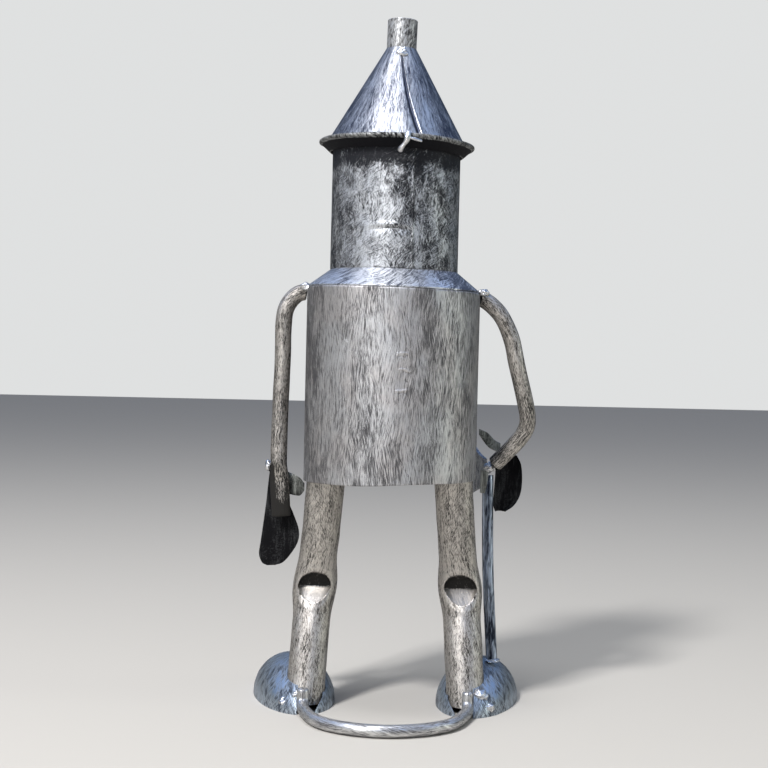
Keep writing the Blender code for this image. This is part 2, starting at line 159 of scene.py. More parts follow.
def turned(
    name, profile, material, node, deform=None, sides=288, step=1.6, flow_radius=None,
    lean=False, by_height=False, painted_light_and_bare_paint=None,
):
    """A closed profile turned about the figure's axis, then deformed; angles run from the back."""
    points = refine(profile, step)
    angles = np.arange(sides) * TAU / sides
    radius, height = (np.array(column)[:, None] + 0 * angles for column in zip(*points))
    angle = angles[None] + 0 * radius
    signed = (angle + math.pi) % TAU - math.pi
    track = flow_radius or float(radius.max())
    sides_of = zip(points, points[1:])
    along = np.cumsum([0.0] + [math.hypot(b[0] - a[0], b[1] - a[1]) for a, b in sides_of])
    third = height.copy() if by_height else along[:, None] + 0 * angle
    flow = np.stack([track * np.sin(angle), track * np.cos(angle), third], -1)
    # depth holds the painted light and shade, with some bare paint, from the given function
    depth = painted_light_and_bare_paint(signed, radius, height).reshape(-1) if painted_light_and_bare_paint else None
    if deform:
        radius, height = deform(signed, radius, height)
    cloud = np.stack([-radius * np.sin(angle), radius * np.cos(angle), height], -1).reshape(-1, 3)
    if lean:
        cloud = lean_hat(cloud)
    faces = ring_faces(len(points), sides, True)
    flow = flow.reshape(-1, 3)
    return make_object(name, cloud, faces, flow, material, node, painted_light_and_bare_paint=depth)


HAT_LEAN = math.radians(1.6)
HAT_PIVOT = 322.0


def lean_hat(cloud):
    """The hat leans towards the axe side."""
    cloud = np.array(cloud, float)
    x = cloud[:, 0].copy()
    z = cloud[:, 2] - HAT_PIVOT
    cloud[:, 0] = x * math.cos(HAT_LEAN) - z * math.sin(HAT_LEAN)
    cloud[:, 2] = x * math.sin(HAT_LEAN) + z * math.cos(HAT_LEAN) + HAT_PIVOT
    return cloud


def with_ends(knots):
    """The knots with one more at each end, so that a curve runs through all the given ones."""
    return [knots[0] * 2 - knots[1], *knots, knots[-1] * 2 - knots[-2]]


def between(four_knots, t):
    """A point on the smooth curve from the second knot to the third."""
    before, start, end, after = four_knots
    curve = start * 2 + (end - before) * t
    curve = curve + (before * 2 - start * 5 + end * 4 - after) * t**2
    curve = curve + (start * 3 - before - end * 3 + after) * t**3
    return curve / 2


def smooth_route(points, step=1.2):
    """Extra points on a smooth curve through the given ones."""
    knots = with_ends([Vector(point) for point in points])
    route = []
    for index in range(len(points) - 1):
        four = knots[index : index + 4]
        steps = max(1, round((four[2] - four[1]).length / step))
        for part in range(steps):
            route.append(between(four, part / steps))
    route.append(knots[-2])
    return route


def frames(route):
    """Centre, direction, side, back and distance at each point, carried without twisting."""
    back = Vector((0, 1, 0))
    found = []
    distance = 0.0
    for index, point in enumerate(route):
        ahead = route[min(index + 1, len(route) - 1)]
        behind = route[max(index - 1, 0)]
        along = (ahead - behind).normalized()
        side = along.cross(back).normalized()
        back = side.cross(along).normalized()
        if index:
            distance += (point - route[index - 1]).length
        found.append((point, along, side, back.copy(), distance))
    return found


def wobble(point, scale, amount, seed=0.0):
    """Smooth seeded noise at a point."""
    return amount * noise.noise(Vector(point) * scale + Vector((seed, seed * 0.7, -seed)))


def bar(
    name, route, radius, material, node, sides=40, rough=0.06, round_ends=True, seed=1.0
):
    """A solid round bar with slightly uneven skin and rounded ends."""
    points = []
    flow = []
    stations = frames(smooth_route(route))
    first = stations[0]
    last = stations[-1]
    rings = [(centre, side, back, distance, 1.0) for centre, _, side, back, distance in stations]
    if round_ends:
        for step in (0.25, 0.55, 0.8, 0.95):
            reach = radius * step * 0.6
            shrink = math.sqrt(1 - step * step)
            rings.insert(0, (first[0] - first[1] * reach, first[2], first[3], -reach, shrink))
            rings.append((last[0] + last[1] * reach, last[2], last[3], last[4] + reach, shrink))
    for centre, side, back, distance, shrink in rings:
        for index in range(sides):
            turn = TAU * index / sides
            direction = side * math.cos(turn) + back * math.sin(turn)
            spot = centre + direction * radius * shrink
            spot += direction * wobble(spot, 0.22, rough, seed) * shrink
            points.append(tuple(spot))
            flow.append((radius * math.cos(turn), radius * math.sin(turn), distance))
    faces = capped_faces(len(rings), sides)
    return make_object(name, points, faces, flow, material, node)


def hollow_tube(name, stations, outer_at, wall, node, sides=56):
    """An open tube; outer_at gives the point at a station, an angle and a radius cut, with the radius
    and the painted light and shade there.
    """
    points = []
    flow = []
    depth = []
    last = len(stations) - 1
    rows = [(index, 0.0, 0.0) for index in range(last + 1)]
    rows += [(last, wall * 0.5, 0.35), (last, wall, 0.0)]
    rows += [(index, wall, 0.0) for index in range(last - 1, 0, -1)]
    rows += [(0, wall, 0.0), (0, wall * 0.5, -0.35)]
    for index, cut, push in rows:
        along, distance = stations[index][1], stations[index][4]
        for number in range(sides):
            turn = TAU * number / sides
            spot, radius, painted_light_and_bare_paint = outer_at(stations[index], turn, cut)
            points.append(tuple(spot + along * push))
            # The inner wall and the cut end get full bare dark paint, which also serves as painted
            # shade inside the tube
            depth.append(1.5 if cut else painted_light_and_bare_paint)
            flow.append((radius * math.cos(turn), radius * math.sin(turn), distance - cut * 3))
    faces = ring_faces(len(rows), sides, True)
    return make_object(name, points, faces, flow, LIMB_METAL, node, painted_light_and_bare_paint=depth)


def blob(name, centre, radii, seed, node):
    """A lumpy weld bead."""
    rough = 0.28
    work = bmesh.new()
    bmesh.ops.create_icosphere(work, subdivisions=4, radius=1.0)
    points = []
    for vertex in work.verts:
        unit = vertex.co.copy()
        size = 1.0 + rough * noise.noise(unit * 1.6 + Vector((seed, 0, 0)))
        size += rough * 0.5 * noise.noise(unit * 4.0 + Vector((0, seed, 0)))
        points.append(tuple(Vector(centre) + unit * Vector(radii) * size))
    faces = [tuple(v.index for v in face.verts) for face in work.faces]
    work.free()
    return make_object(name, points, faces, points, WELD_METAL, node, 180.0)


# ---------------------------------------------------------------- materials


def link(tree, start, end):
    tree.links.new(start, end)


def feed(tree, socket, value):
    """Joins a socket to another one, or sets it to a constant."""
    if hasattr(value, "is_output"):
        tree.links.new(value, socket)
    else:
        socket.default_value = value


def math_node(tree, operation, *values, clamp=False):
    node = tree.nodes.new("ShaderNodeMath")
    node.operation = operation
    node.use_clamp = clamp
    for socket, value in zip(node.inputs, values):
        feed(tree, socket, value)
    return node.outputs[0]


def vector_math(tree, operation, *values):
    node = tree.nodes.new("ShaderNodeVectorMath")
    node.operation = operation
    for socket, value in zip(node.inputs, values):
        feed(tree, socket, value)
    return node.outputs["Value" if operation in ("DOT_PRODUCT", "LENGTH") else "Vector"]


def vector_scale(tree, vector, factor):
    node = tree.nodes.new("ShaderNodeVectorMath")
    node.operation = "SCALE"
    feed(tree, node.inputs[0], vector)
    feed(tree, node.inputs["Scale"], factor)
    return node.outputs["Vector"]


def noise_node(tree, source, scale, shift=(0, 0, 0), detail=2.0, roughness=0.55):
    """Noise over the coordinates stretched by scale and moved by shift."""
    mapping = tree.nodes.new("ShaderNodeMapping")
    mapping.inputs["Scale"].default_value = scale
    mapping.inputs["Location"].default_value = shift
    link(tree, source, mapping.inputs["Vector"])
    node = tree.nodes.new("ShaderNodeTexNoise")
    node.inputs["Scale"].default_value = 1.0
    node.inputs["Detail"].default_value = detail
    node.inputs["Roughness"].default_value = roughness
    link(tree, mapping.outputs[0], node.inputs["Vector"])
    return node.outputs


def ramp(tree, value, low, high, out_low=0.0, out_high=1.0, smooth=True):
    node = tree.nodes.new("ShaderNodeMapRange")
    node.interpolation_type = "SMOOTHSTEP" if smooth else "LINEAR"
    limits = {"From Min": low, "From Max": high, "To Min": out_low, "To Max": out_high}
    for label, limit in limits.items():
        node.inputs[label].default_value = limit
    link(tree, value, node.inputs["Value"])
    return node.outputs["Result"]


def add_share(tree, total, field, weight):
    """The total with a field added, weighted by a number."""
    return math_node(tree, "MULTIPLY_ADD", field, weight, total)


def mix_colour(tree, share, first, second):
    node = tree.nodes.new("ShaderNodeMix")
    node.data_type = "RGBA"
    link(tree, share, node.inputs["Factor"])
    for name, value in (("A", first), ("B", second)):
        socket = [s for s in node.inputs if s.name == name and s.type == "RGBA"][0]
        feed(tree, socket, (*value, 1.0) if isinstance(value, tuple) else value)
    return [s for s in node.outputs if s.type == "RGBA"][0]


def warped(tree, source, amount, scale):
    """The coordinates pushed about by slow noise, so that strokes bend."""
    slow = noise_node(tree, source, scale)["Color"]
    centred = vector_math(tree, "SUBTRACT", slow, (0.5, 0.5, 0.5))
    return vector_math(tree, "ADD", source, vector_scale(tree, centred, amount))


def twisted(tree, source, per_mm):
    """The coordinates wound round their long axis, so that strokes slant."""
    split = tree.nodes.new("ShaderNodeSeparateXYZ")
    link(tree, source, split.inputs[0])
    node = tree.nodes.new("ShaderNodeVectorRotate")
    node.rotation_type = "Z_AXIS"
    link(tree, source, node.inputs["Vector"])
    link(tree, math_node(tree, "MULTIPLY", split.outputs["Z"], per_mm), node.inputs["Angle"])
    return node.outputs[0]


def streaks(tree, source, size, seed, detail=3.0, rough=0.6):
    """Noise stretched along the flow; size is its width and length in millimetres."""
    scale = (1.0 / size[0], 1.0 / size[0], 1.0 / size[1])
    shift = (seed * 3.1, seed * 7.7, seed * 1.3)
    return noise_node(tree, source, scale, shift, detail, rough)["Fac"]


def crossing_streaks(tree, source, radius, slopes, size, seed):
    """Streaks of several slants, each taking over in patches."""
    field = None
    for index, slope in enumerate(slopes):
        start = twisted(tree, source, slope / radius) if slope else source
        layer = streaks(tree, start, size, seed + index, 4.0)
        if field is None:
            field = layer
            continue
        shift = (seed + 5.0 * index, 3, 1)
        patch = noise_node(tree, source, (0.07, 0.07, 0.05), shift)["Fac"]
        gate = ramp(tree, patch, 0.47, 0.56)
        mix = tree.nodes.new("ShaderNodeMix")
        link(tree, gate, mix.inputs["Factor"])
        link(tree, field, mix.inputs["A"])
        link(tree, layer, mix.inputs["B"])
        field = mix.outputs["Result"]
    return field


def scratch_lines(tree, source, size, seed, width, density):
    """Thin separate lines where a stretched noise crosses its middle value."""
    value = streaks(tree, source, size, seed, 1.0, 0.4)
    away = math_node(tree, "ABSOLUTE", math_node(tree, "SUBTRACT", value, 0.5))
    line = ramp(tree, away, 0.0, width, 1.0, 0.0)
    patch = noise_node(tree, source, (0.09, 0.09, 0.06), (seed, seed, 2))["Fac"]
    keep = ramp(tree, patch, 1.0 - density, 1.0 - density + 0.08)
    return math_node(tree, "MULTIPLY", line, keep)


def near_segment(tree, source, start, end, width):
    """1 on a straight mark between two flow points, 0 away from it."""
    start = Vector(start)
    span = Vector(end) - start
    offset = vector_math(tree, "SUBTRACT", source, tuple(start))
    share = vector_math(tree, "DOT_PRODUCT", offset, tuple(span / span.length_squared))
    share = math_node(tree, "MULTIPLY", share, 1.0, clamp=True)
    away = vector_math(tree, "SUBTRACT", offset, vector_scale(tree, tuple(span), share))
    return ramp(tree, vector_math(tree, "LENGTH", away), 0.0, width, 1.0, 0.0)


def brushed_paint(
    name, silver, dark, radius, fine=(0.65, 7.0), broad=(1.7, 14.0), patch=(11.0, 24.0),
    slopes=(0.0, 0.22, -0.2), cover=0.5, contrast=(2.6, 1.1, 0.9), edge=0.4, warp=2.0, swirl=0.0,
    scratches=0.4, crossed=(), roughness=(0.6, 0.42), metal=(0.3, 0.92), bump=0.35, tint=None,
    marks=(),
):
    """Dark paint dragged over with silver along the flow direction.

    fine, broad and patch are the widths and lengths of the strokes in millimetres.
    Pairs such as roughness are given for bare dark paint and for full silver.
    """
    material = bpy.data.materials.new(name)
    material.use_nodes = True
    tree = material.node_tree
    shader = tree.nodes["Principled BSDF"]
    source = tree.nodes.new("ShaderNodeAttribute")
    source.attribute_name = "flow"
    flow = source.outputs["Vector"]
    light_and_bare_attribute = tree.nodes.new("ShaderNodeAttribute")
    light_and_bare_attribute.attribute_name = "painted_light_and_bare_paint"

    bent = warped(tree, flow, warp, (0.06, 0.06, 0.04))
    fine_field = crossing_streaks(tree, bent, radius, slopes, fine, 1.0)
    broad_field = crossing_streaks(tree, bent, radius, slopes[:2], broad, 4.0)
    total = math_node(tree, "MULTIPLY", fine_field, contrast[0])
    total = math_node(tree, "ADD", total, cover - 0.5 * sum(contrast))
    total = add_share(tree, total, broad_field, contrast[1])
    total = add_share(tree, total, streaks(tree, flow, patch, 9.0), contrast[2])
    if swirl:
        curled = warped(tree, flow, 14.0, (0.12, 0.12, 0.12))
        curls = streaks(tree, curled, (0.8, 3.6), 12.0, 4.0, 0.62)
        total = add_share(tree, total, math_node(tree, "SUBTRACT", curls, 0.5), swirl)

    slanted = twisted(tree, flow, 0.55 / radius)
    layers = [
        scratch_lines(tree, slanted, (2.4, 22.0), 15.0, 0.010, 0.5),
        scratch_lines(tree, bent, (1.4, 16.0), 21.0, 0.012, 0.45),
    ]
    for index, slope in enumerate(crossed):
        start = twisted(tree, bent, slope / radius)
        layers.append(scratch_lines(tree, start, (1.6, 9.0), 33.0 + 4.0 * index, 0.014, 0.56))
    light_lines = layers[0]
    for layer in layers[1:]:
        light_lines = math_node(tree, "MAXIMUM", light_lines, layer)
    total = add_share(tree, total, light_lines, scratches)
    slanted = twisted(tree, flow, -0.45 / radius)
    dark_lines = scratch_lines(tree, slanted, (2.8, 20.0), 27.0, 0.010, 0.45)
    total = add_share(tree, total, dark_lines, -0.5)

    relief = math_node(tree, "MULTIPLY", broad_field, 1.2)
    relief = add_share(tree, relief, fine_field, 1.2)
    uneven = warped(tree, flow, 3.0, (0.45, 0.45, 0.45)) if marks else flow
    for start, end, width, height, shade in marks:
        mark = near_segment(tree, uneven, start, end, width)
        relief = add_share(tree, relief, mark, height)
        total = add_share(tree, total, mark, shade)

    # Painted light: the per-point value takes silver off for painted shade and bare paint, and adds
    # silver where it is below zero for painted highlights
    mask = math_node(tree, "SUBTRACT", total, light_and_bare_attribute.outputs["Fac"], clamp=True)
    colour = mix_colour(tree, mask, dark, silver)
    if tint:
        hue = noise_node(tree, flow, (0.04, 0.04, 0.03), (2, 8, 1))["Fac"]
        tinted = mix_colour(tree, mask, dark, tint)
        colour = mix_colour(tree, ramp(tree, hue, 0.42, 0.62, 0.0, 0.5), colour, tinted)
    link(tree, colour, shader.inputs["Base Color"])
    shader.inputs["Specular Tint"].default_value = (edge, edge, edge, 1.0)
    link(tree, ramp(tree, mask, 0.0, 1.0, *metal, False), shader.inputs["Metallic"])
    worn = ramp(tree, mask, 0.0, 1.0, *roughness, False)
    worn = add_share(tree, worn, math_node(tree, "SUBTRACT", broad_field, 0.5), 0.25)
    link(tree, worn, shader.inputs["Roughness"])
    node = tree.nodes.new("ShaderNodeBump")
    node.inputs["Strength"].default_value = bump
    node.inputs["Distance"].default_value = 0.0004
    link(tree, relief, node.inputs["Height"])
    link(tree, node.outputs["Normal"], shader.inputs["Normal"])
    return material


def on_can(across, height, radius):
    """Flow coordinates of a point on the back of a can, given how far left of its middle it is."""
    return (-across, math.sqrt(radius * radius - across * across), height)


def can_mark(radius, first, second, width, height, shade):
    return (on_can(*first, radius), on_can(*second, radius), width, height, shade)


# Scars on the torso: ends as (left of the middle, height), then width, relief and shade
TORSO_SCARS = (
    ((-3.0, 205.0), (-9.0, 205.6), 1.1, 1.3, 0.30),
    ((-4.0, 203.6), (-8.2, 203.8), 0.9, -0.9, -0.40),
    ((-4.6, 196.6), (-10.4, 195.6), 1.1, 1.5, 0.35),
    ((-6.0, 194.8), (-10.0, 194.2), 0.9, -1.2, -0.50),
    ((-7.4, 190.8), (-9.0, 189.4), 0.9, -0.9, -0.50),
    ((-2.8, 184.4), (-8.6, 185.2), 1.1, 1.4, 0.35),
    ((-3.8, 183.0), (-8.0, 183.6), 0.9, -1.1, -0.45),
    ((-4.0, 148.8), (-10.9, 136.0), 0.5, -0.7, -0.80),
    ((29.0, 214.4), (25.0, 210.4), 0.7, 0.9, 0.30),
    ((13.9, 178.6), (13.2, 170.4), 0.5, -0.6, -0.50),
    ((15.4, 164.6), (13.4, 161.6), 0.6, -0.7, -0.50),
    ((46.4, 152.0), (38.0, 146.6), 0.4, 0.7, 0.40),
    ((22.4, 224.0), (20.2, 206.0), 0.8, -0.4, -0.30),
)

TORSO_METAL = brushed_paint(
    "torso_brushed", (0.56, 0.56, 0.57), (0.06, 0.06, 0.064), 50.0, fine=(0.34, 8.0),
    broad=(1.2, 20.0), patch=(12.0, 30.0), slopes=(0.0, 0.17, -0.15), contrast=(5.2, 2.0, 2.4),
    cover=0.50, warp=2.4, swirl=0.6, scratches=0.6, tint=(0.57, 0.53, 0.515),
    marks=[can_mark(TORSO_RADIUS, *scar) for scar in TORSO_SCARS],
)
# The head's dark paint is nearly black, so that its painted shadow under the brim reads deep
HEAD_METAL = brushed_paint(
    "head_brushed", (0.60, 0.62, 0.65), (0.016, 0.017, 0.021), 37.0, fine=(0.3, 3.0),
    broad=(1.2, 5.0), patch=(7.0, 12.0), slopes=(0.1, 0.7, -0.6, 1.9), cover=0.15,
    crossed=(0.3, 1.4, -1.1, -0.4, 2.4), contrast=(5.6, 2.0, 3.1), edge=0.2, warp=4.0, swirl=0.9,
    scratches=1.25, metal=(0.2, 0.9),
)
HAT_METAL = brushed_paint(
    "hat_brushed", (0.54, 0.55, 0.57), (0.03, 0.036, 0.058), 39.0, fine=(0.34, 7.0),
    broad=(1.6, 16.0), slopes=(0.05, 0.25, -0.35), crossed=(0.5, -0.8), cover=0.41,
    contrast=(3.4, 2.4, 1.6), swirl=1.0, scratches=1.1, roughness=(0.36, 0.42), metal=(0.7, 0.95),
    bump=0.3,
)
# The brim's dark paint is nearly black: painted shade for its underside
BRIM_METAL = brushed_paint(
    "brim_brushed", (0.44, 0.45, 0.45), (0.008, 0.008, 0.010), 44.0, fine=(0.7, 2.5),
    broad=(1.5, 5.0), slopes=(0.2, 1.2), cover=0.36, contrast=(3.6, 2.0, 1.0), edge=0.1,
    roughness=(0.8, 0.4), metal=(0.1, 0.9),
)
SPOUT_METAL = brushed_paint(
    "spout_brushed", (0.66, 0.67, 0.68), (0.03, 0.03, 0.035), 8.0, fine=(0.6, 3.0),
    broad=(2.0, 7.0), patch=(5.0, 9.0), slopes=(0.0, 0.8), cover=0.40, contrast=(2.6, 2.4, 1.6),
    swirl=0.8,
)
SHOULDER_METAL = brushed_paint(
    "shoulder_brushed", (0.80, 0.81, 0.84), (0.09, 0.10, 0.13), 43.0, fine=(0.5, 4.0),
    broad=(1.6, 8.0), slopes=(0.8, 2.4, -1.8), cover=0.52, contrast=(5.0, 4.0, 2.6), swirl=1.6,
    scratches=1.2, roughness=(0.42, 0.38), metal=(0.7, 0.95),
)
# The limbs' silver is tinted warm brown: a painted reflection of a brown surface below the figure
LIMB_METAL = brushed_paint(
    "limb_brushed", (0.58, 0.545, 0.505), (0.022, 0.021, 0.02), 9.0, fine=(0.3, 2.0),
    broad=(1.1, 8.0), patch=(5.0, 20.0), slopes=(0.0, 0.22, -0.25), edge=0.25, cover=0.57,
    contrast=(4.6, 2.2, 2.2), crossed=(0.4, -0.5), scratches=0.6, warp=1.2, bump=0.4,
)
FOOT_METAL = brushed_paint(
    "foot_brushed", (0.50, 0.57, 0.65), (0.04, 0.05, 0.07), 20.0, fine=(0.55, 9.0),
    broad=(1.6, 16.0), patch=(6.0, 20.0), slopes=(0.0, 0.2, -0.25), cover=0.50,
    contrast=(4.0, 3.0, 2.6), roughness=(0.40, 0.34),
)
BAR_METAL = brushed_paint(
    "bar_brushed", (0.68, 0.68, 0.68), (0.09, 0.09, 0.10), 3.5, fine=(0.5, 5.0), broad=(1.4, 12.0),
    patch=(4.0, 16.0), slopes=(0.0, 0.3), cover=0.58, contrast=(3.4, 2.6, 1.8),
    roughness=(0.40, 0.30),
)
# The handle's silver is tinted blue: a painted reflection of the sky
HANDLE_METAL = brushed_paint(
    "handle_brushed", (0.52, 0.60, 0.74), (0.012, 0.016, 0.03), 3.5, fine=(0.5, 9.0),
    broad=(1.5, 22.0), patch=(3.5, 26.0), slopes=(0.0, 0.15), cover=0.38, contrast=(2.6, 3.0, 2.6),
    roughness=(0.38, 0.30), metal=(0.6, 0.95),
)
HAND_METAL = brushed_paint(
    "hand_black", (0.10, 0.105, 0.11), (0.004, 0.004, 0.005), 30.0, slopes=(0.0, 0.5), cover=0.02,
    contrast=(1.2, 1.0, 1.0), edge=0.15, scratches=0.2, roughness=(0.75, 0.6), metal=(0.0, 0.6),
    bump=0.15,
)
THUMB_METAL = brushed_paint(
    "thumb_grey", (0.30, 0.315, 0.30), (0.02, 0.021, 0.02), 30.0, slopes=(0.0, 0.4), cover=0.36,
    contrast=(2.2, 1.8, 2.2), scratches=0.3, roughness=(0.6, 0.45), metal=(0.2, 0.85), bump=0.2,
)
SOCKET_METAL = brushed_paint(
    "socket_grey", (0.50, 0.52, 0.50), (0.06, 0.065, 0.06), 30.0, slopes=(0.0, 0.3), cover=0.55,
    roughness=(0.5, 0.34),
)
WELD_METAL = brushed_paint(
    "weld_bright", (0.88, 0.88, 0.89), (0.20, 0.20, 0.21), 4.0, fine=(0.6, 0.9), broad=(1.2, 1.5),
    patch=(3.0, 3.0), slopes=(0.0,), cover=0.66, contrast=(2.0, 1.6, 1.0), swirl=0.8,
    roughness=(0.45, 0.24), metal=(0.85, 1.0), bump=0.6,
)


# ---------------------------------------------------------------- cans


def gauss(value, centre, width):
    return np.exp(-(((value - centre) / width) ** 2))


def torso_deform(angle, radius, height):
    """The can isn't cut square, and it has a few dents."""
    x = -TORSO_RADIUS * np.sin(angle)
    share = (height - TORSO_BOTTOM) / TORSO_HEIGHT
    height = height + x * (-0.021 + 0.043 * share)
    height = height + (1 - share) * (0.35 * np.sin(2 * angle + 0.6) + 0.25 * np.sin(5 * angle))
    dent = 0.25 * np.sin(3 * angle + 1.0) * np.sin(share * 4.0)
    dent = dent - 0.55 * gauss(angle, 0.13, 0.09) * gauss(height, 191, 9)
    dent = dent - 0.35 * gauss(angle, -0.5, 0.16) * gauss(height, 206, 14)
    return radius + dent, height


def head_deform(angle, radius, height):
    """A slightly uneven can with its vertical seam and one crease."""
    x = -HEAD_RADIUS * np.sin(angle)
    share = np.clip((height - 252.9) / 73.0, 0, 1)
    height = height + x * 0.011 * (1 - share)
    seam = 0.45 * gauss(angle, 0.262, 0.014) - 0.25 * gauss(angle, 0.305, 0.03)
    crease = 0.55 * gauss(height, 277.0 - 5.0 * (angle + 0.1) ** 2, 1.2) * gauss(angle, -0.1, 0.30)
    crease -= 0.7 * gauss(height, 274.6 - 5.0 * (angle + 0.1) ** 2, 1.2) * gauss(angle, -0.05, 0.30)
    waves = 0.22 * np.sin(4 * angle + 0.5) + 0.12 * np.sin(7 * angle + share * 3)
    return radius + seam + crease + waves, height


def shoulder_deform(angle, radius, height):
    x = -radius * np.sin(angle)
    share = np.clip((height - 241.8) / 10.7, 0, 1)
    return radius, height + x * (0.022 - 0.011 * share)


def shoulder_painted_light(angle, radius, height):
    """Painted highlight left of the middle and painted shade towards the right."""
    return 0.34 * np.clip((angle - 0.5) / 0.4, 0, 1) - 0.25 * gauss(angle, -0.5, 0.5)


def hat_seam(angle, share):
    """0 outside the lap seam's groove and 1 in it; it drifts and widens towards the brim."""
    left = 0.27 - 0.31 * share
    right = 0.355 - 0.30 * share
    fall = np.clip((angle - left) / 0.03, 0, 1)
    rise = np.clip((right - angle) / 0.02, 0, 1)
    return fall * rise


def hat_deform(angle, radius, height):
    """The cone's lap seam and a slow unevenness."""
    share = np.clip((height - HAT_BASE) / HAT_HEIGHT, 0, 1)
    groove = hat_seam(angle, share)
    swell = gauss(angle, 0.17 - 0.31 * share, 0.12)
    ridge = gauss(angle, 0.372 - 0.30 * share, 0.016)
    lift = (0.55 * swell - 1.25 * groove + 0.35 * ridge) * (1 - 0.6 * share)
    lift = lift + 0.16 * np.sin(3 * angle + 1.2) * (1 - share)
    return radius + lift, height


def hat_painted_shade_and_strokes(angle, radius, height):
    """Painted shadow in the seam's groove and painted shade away from the lit middle, with a band of
    extra silver strokes right of the seam.
    """
    share = np.clip((height - HAT_BASE) / HAT_HEIGHT, 0, 1)
    side = np.clip((np.abs(angle + 0.1) - 0.55) / 0.7, 0, 1)
    bundle = gauss(angle, 0.50 - 0.12 * share, 0.13)
    return 1.2 * hat_seam(angle, share) + 0.34 * side - 0.14 * bundle


def brim_painted_shade(angle, radius, height):
    """Painted shade under the brim, all but its lowest edge at the sides."""
    under = np.clip((324.2 - height) / 0.6, 0, 1) * np.clip((43.4 - radius) / 0.6, 0, 1)
    edge = gauss(height, 319.7, 0.5) * np.clip((np.abs(angle) - 1.0) / 0.3, 0, 1)
    return 1.6 * under * (1 - edge)


def head_painted_light(angle, radius, height):
    """Painted shadow in the strip under the brim, two darker patches by the seam, painted shade at
    the sides and a painted highlight left of the middle.
    """
    top = np.clip((height - 308.5 + 1.2 * np.sin(9 * angle)) / 4.5, 0, 1)
    patch = gauss(angle, 0.36, 0.12) * gauss(height, 309, 9)
    patch = patch + 0.7 * gauss(angle, 0.05, 0.14) * gauss(height, 296, 7)
    band = gauss(angle, -0.38, 0.26)
    side = 0.40 * np.clip((-angle - 0.7) / 0.5, 0, 1) + 0.12 * np.clip((angle - 0.1) / 0.3, 0, 1)
    return 1.3 * top + 0.9 * patch + side - 0.28 * band * (1 - top)


def torso_painted_shade(angle, radius, height):
    """Painted shade: a darker stripe right of the middle and down the left edge, where the lights
    leave the can dim, and a slightly brighter foot.
    """
    stripe = gauss(angle, 0.42, 0.22) * np.clip((height - 150) / 60, 0, 1)
    edge = np.clip((-angle - 0.8) / 0.6, 0, 1)
    foot = gauss(height, 140, 12)
    return 0.24 * stripe + 0.08 * gauss(angle, -0.95, 0.25) + 0.48 * edge - 0.12 * foot


def brim_deform(angle, radius, height):
    outer = np.clip((radius - 39) / 6, 0, 1)
    return radius, height + outer * (0.30 * np.sin(2 * angle + 0.8) + 0.18 * np.sin(5 * angle))


turned(
    "torso_can",
    [
        (49.4, 241.9), *lip(49.4, 241.0, 0.6, 60, 0), (50.0, 133.0),
        *lip(49.4, 133.0, 0.6, 0, -180), (48.8, 240.6), (49.0, 241.6),
    ],
    TORSO_METAL, "torso_shell", torso_deform, 320, by_height=True,
    painted_light_and_bare_paint=torso_painted_shade,
)
turned(
    "head_can", [(36.8, 325.6), (36.8, 253.4), *lip(36.2, 253.3, 0.6, 0, -180), (35.6, 325.6)],
    HEAD_METAL, "head_shell", head_deform, 448, 1.2, by_height=True,
    painted_light_and_bare_paint=head_painted_light,
)
turned(
    "shoulder_ring",
    [
        (49.3, 241.8), (49.7, 242.1), (49.7, 242.7), (49.2, 243.1), (48.6, 243.6), (36.6, 252.9),
        (35.4, 252.9), (35.4, 252.2), (47.0, 242.6), (47.6, 241.8),
    ],
    SHOULDER_METAL, "shoulder_cone", shoulder_deform, 256, 0.8, 43.0,
    painted_light_and_bare_paint=shoulder_painted_light,
)
turned(
    "hat_cone_sheet", [(39.4, 326.9), (8.9, 380.6), (8.6, 381.1), (7.9, 381.1), (38.2, 326.7)],
    HAT_METAL, "hat_cone", hat_deform, 720, 1.3, 39.0, True, painted_light_and_bare_paint=hat_painted_shade_and_strokes,
)
turned(
    "hat_brim_roll",
    [
        (38.5, 327.3), (39.6, 327.5), (42.0, 326.9), *lip(43.8, 325.6, 1.15, 75, -75, 8),
        (43.2, 324.2), (38.6, 319.9), (38.0, 319.6), (37.6, 320.0), (37.6, 324.0),
    ],
    BRIM_METAL, "hat_brim", brim_deform, 288, 0.5, 44.0, True, painted_light_and_bare_paint=brim_painted_shade,
)
turned(
    "hat_spout_tube",
    [(8.3, 380.4), (8.6, 380.9), (8.6, 396.8), *lip(8.0, 397.0, 0.7, 10, 170), (7.3, 380.4)],
    SPOUT_METAL, "hat_spout", None, 128, 0.8, None, True,
)

# ---------------------------------------------------------------- limbs

ARM_RADIUS = 4.75
LEFT_ARM_ROUTE = (
    (50.6, 0, 240.3), (56.4, 0, 238.0), (61.5, 0, 231.5), (63.3, 0, 222), (63.5, 0, 200),
    (64.2, 0, 175), (64.6, 1, 145), (64, 1.5, 132), (62.5, 1.5, 110),
)
RIGHT_ARM_ROUTE = (
    (-50.8, 0.5, 238.6), (-57.4, 0, 234), (-63.5, 0, 227), (-69, -1, 215), (-72.5, -2, 200),
    (-77.5, -5, 181), (-80, -8, 169), (-78.5, -11, 161), (-72, -15, 152), (-62.5, -20, 141.5),
)


